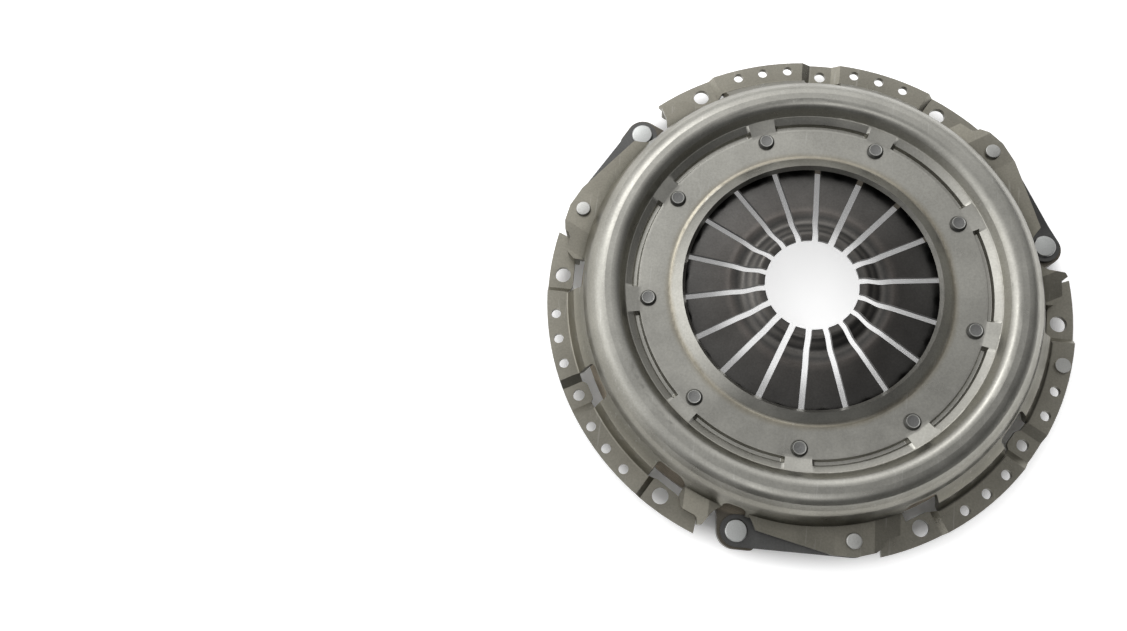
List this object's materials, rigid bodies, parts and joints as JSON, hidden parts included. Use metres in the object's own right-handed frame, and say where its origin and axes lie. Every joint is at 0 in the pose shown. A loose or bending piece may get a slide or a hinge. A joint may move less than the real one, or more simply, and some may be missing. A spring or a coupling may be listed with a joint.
{
  "type": "clutch pressure plate",
  "caption": "Round clutch cover assembly: pressed steel cover, slotted diaphragm spring, cast pressure plate hung on leaf straps, rivets and bolt flange.",
  "frame": {"origin": "centre of the six-hole bolt circle, on the plane of the flange pads that sits on the flywheel", "axes": "+Z along the clutch axis away from the flywheel, +Y through one of the three dowel holes"},
  "size_m": [0.2906, 0.2875, 0.0436],
  "materials": {
    "cover_steel": "satin pressed steel, bare",
    "spring_steel": "dark shot-peened spring steel",
    "ring_wire": "drawn wire",
    "cast_plate": "grey iron, ground on the friction face",
    "strap_steel": "dark rolled strip",
    "rivet_steel": "satin rivet steel",
    "lug_rivet_steel": "bright rivet steel"
  },
  "bodies": {
    "cover_assembly": {"cover": "cover_steel", "diaphragm_spring": "spring_steel", "fulcrum_ring": "ring_wire", "fulcrum_rivet_1": "rivet_steel", "fulcrum_rivet_2": "rivet_steel", "fulcrum_rivet_3": "rivet_steel", "fulcrum_rivet_4": "rivet_steel", "fulcrum_rivet_5": "rivet_steel", "fulcrum_rivet_6": "rivet_steel", "fulcrum_rivet_7": "rivet_steel", "fulcrum_rivet_8": "rivet_steel", "fulcrum_rivet_9": "rivet_steel", "strap_1_leaf_1": "strap_steel", "strap_1_leaf_2": "strap_steel", "strap_1_leaf_3": "strap_steel", "strap_2_leaf_1": "strap_steel", "strap_2_leaf_2": "strap_steel", "strap_2_leaf_3": "strap_steel", "strap_3_leaf_1": "strap_steel", "strap_3_leaf_2": "strap_steel", "strap_3_leaf_3": "strap_steel", "strap_rivet_1": "rivet_steel", "strap_rivet_2": "rivet_steel", "strap_rivet_3": "rivet_steel", "balance_rivet": "rivet_steel"},
    "plate_assembly": {"pressure_plate": "cast_plate", "lug_rivet_1": "lug_rivet_steel", "lug_rivet_2": "lug_rivet_steel", "lug_rivet_3": "lug_rivet_steel"}
  },
  "joints": [
    {"name": "plate_slide", "type": "slide", "parent": "cover_assembly", "child": "plate_assembly", "axis": [0, 0, 1], "range_m": [0, 0.006], "stiffness_N_per_m": 1400000, "deforming": ["diaphragm_spring", "strap_1_leaf_1", "strap_1_leaf_2", "strap_1_leaf_3", "strap_2_leaf_1", "strap_2_leaf_2", "strap_2_leaf_3", "strap_3_leaf_1", "strap_3_leaf_2", "strap_3_leaf_3"]}
  ]
}
